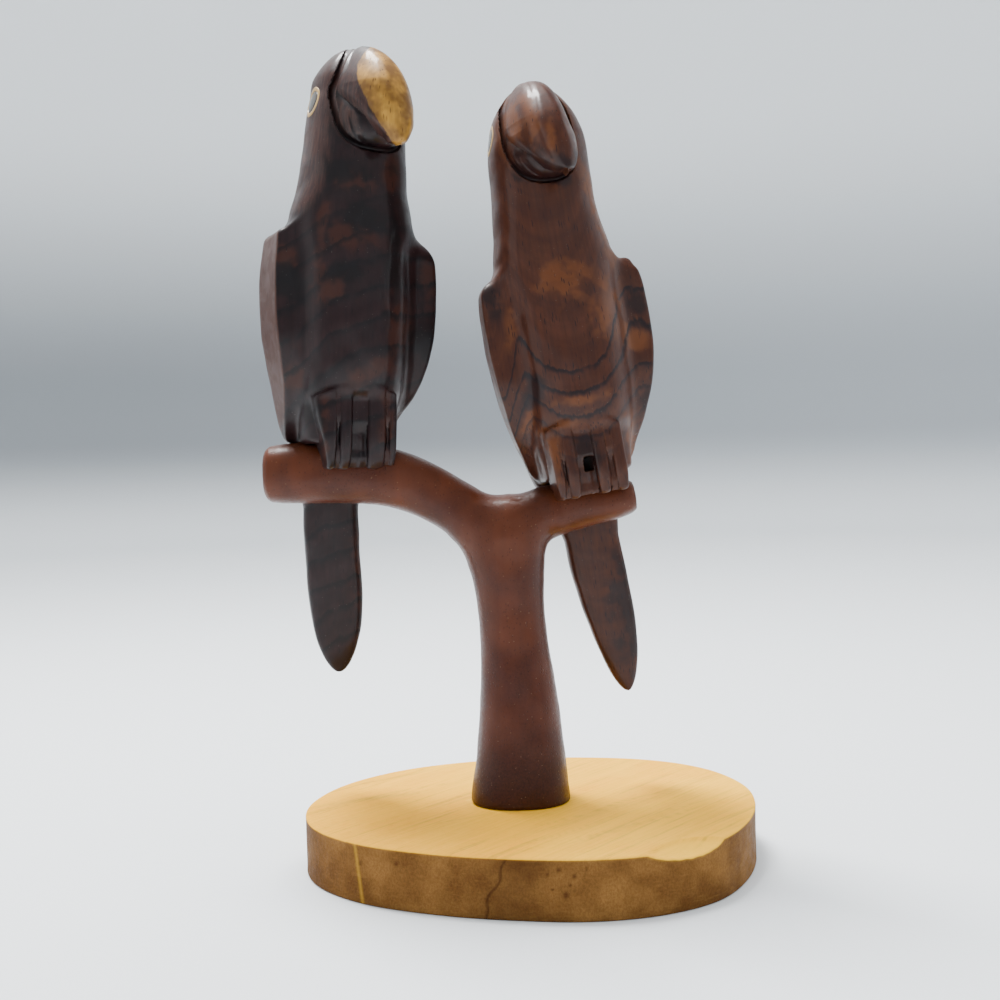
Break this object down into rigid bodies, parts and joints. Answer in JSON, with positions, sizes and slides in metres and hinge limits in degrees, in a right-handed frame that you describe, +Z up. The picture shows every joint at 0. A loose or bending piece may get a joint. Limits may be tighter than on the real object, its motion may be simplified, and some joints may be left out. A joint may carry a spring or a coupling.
{
  "type": "carved parrot pair on branch",
  "caption": "Wood carving of parrots with long tails astride a forked branch that stands on an oval slab base; rests on its flat underside.",
  "frame": {"origin": "middle of the bounding box at the flat underside of the base", "axes": "+Z up, the birds' breasts face -Y, +X is the viewer's right when the birds are seen from the front"},
  "size_m": [0.1044, 0.0806, 0.1743],
  "materials": {
    "base_wood": "pale honey wood, open grain, semi-matte oil",
    "branch_wood": "reddish-brown wood, satin",
    "dark_rosewood": "very dark figured rosewood with pale sapwood on the beak, glossy varnish",
    "red_rosewood": "reddish-brown figured rosewood with dark rings, glossy varnish",
    "eye_ring_wood": "pale inlaid wood, polished flush",
    "pupil_wood": "near-black inlaid wood, polished flush"
  },
  "bodies": {
    "root": {"base_slab": "base_wood", "branch_perch": "branch_wood", "left_parrot": "dark_rosewood", "right_parrot": "red_rosewood", "left_parrot_left_eye_ring": "eye_ring_wood", "left_parrot_left_pupil": "pupil_wood", "left_parrot_right_eye_ring": "eye_ring_wood", "left_parrot_right_pupil": "pupil_wood", "right_parrot_left_eye_ring": "eye_ring_wood", "right_parrot_left_pupil": "pupil_wood", "right_parrot_right_eye_ring": "eye_ring_wood", "right_parrot_right_pupil": "pupil_wood"}
  },
  "joints": []
}
